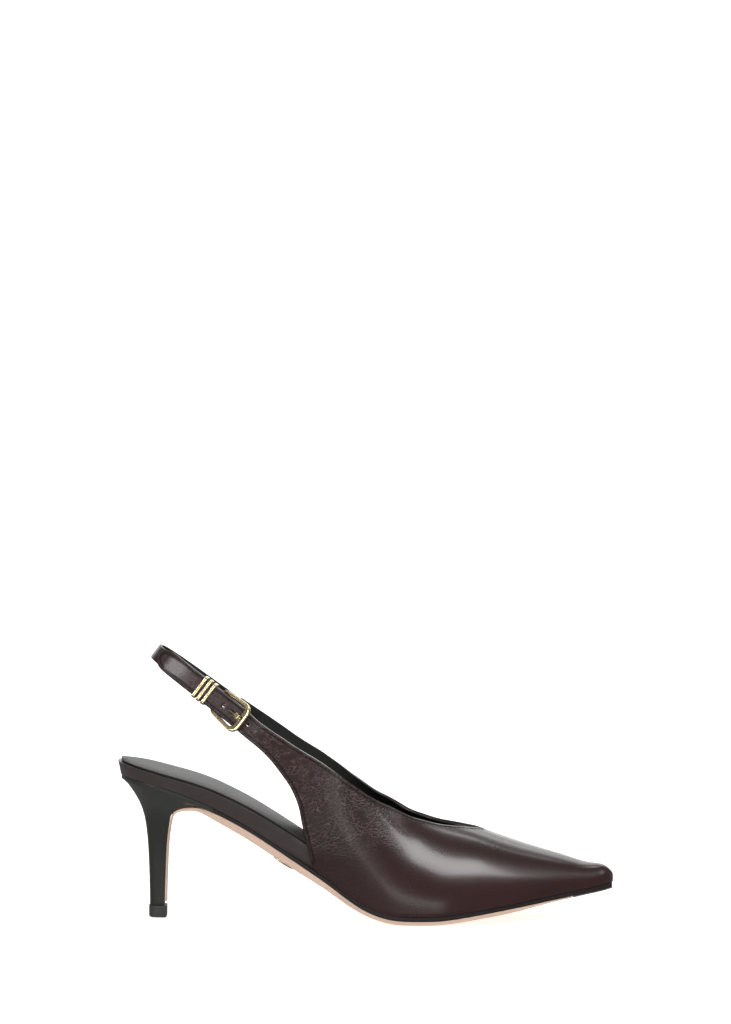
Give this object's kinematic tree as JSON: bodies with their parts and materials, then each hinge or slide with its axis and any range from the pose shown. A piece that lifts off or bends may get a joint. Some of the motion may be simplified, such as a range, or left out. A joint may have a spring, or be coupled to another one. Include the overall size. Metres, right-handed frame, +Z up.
{
  "type": "slingback pump",
  "caption": "Slingback pump on a slim covered heel, pointed closed toe, cut-down quarters and a buckled heel strap, standing empty on its sole.",
  "frame": {"origin": "on the floor, under the middle of the shoe's box", "axes": "+X towards the toe, -Y towards the outer side of the foot, +Z up"},
  "size_m": [0.25, 0.0756, 0.138],
  "materials": {
    "upper_leather": "glossy oxblood leather with fine creases",
    "covered_insole": "satin dark leather cover",
    "sock_lining": "matte near-black lining leather",
    "sole_edge": "dark stained edge, satin",
    "outsole_leather": "pale tan leather, satin",
    "toe_and_heel_rubber": "matte dark grey rubber",
    "heel_cover": "near-black heel cover, semi-gloss",
    "pale_gold_metal": "polished pale gold plating"
  },
  "bodies": {
    "root": {"upper": "upper_leather", "sling_strap": "upper_leather", "buckle_frame": "pale_gold_metal", "buckle_prong": "pale_gold_metal", "keeper_1": "pale_gold_metal", "keeper_2": "pale_gold_metal", "keeper_3": "pale_gold_metal", "sock_lining": "sock_lining", "insole": "covered_insole", "sole_edge": "sole_edge", "outsole": "outsole_leather", "toe_tap": "toe_and_heel_rubber", "heel": "heel_cover", "heel_tip": "toe_and_heel_rubber", "waist_plate": "pale_gold_metal"}
  },
  "joints": []
}
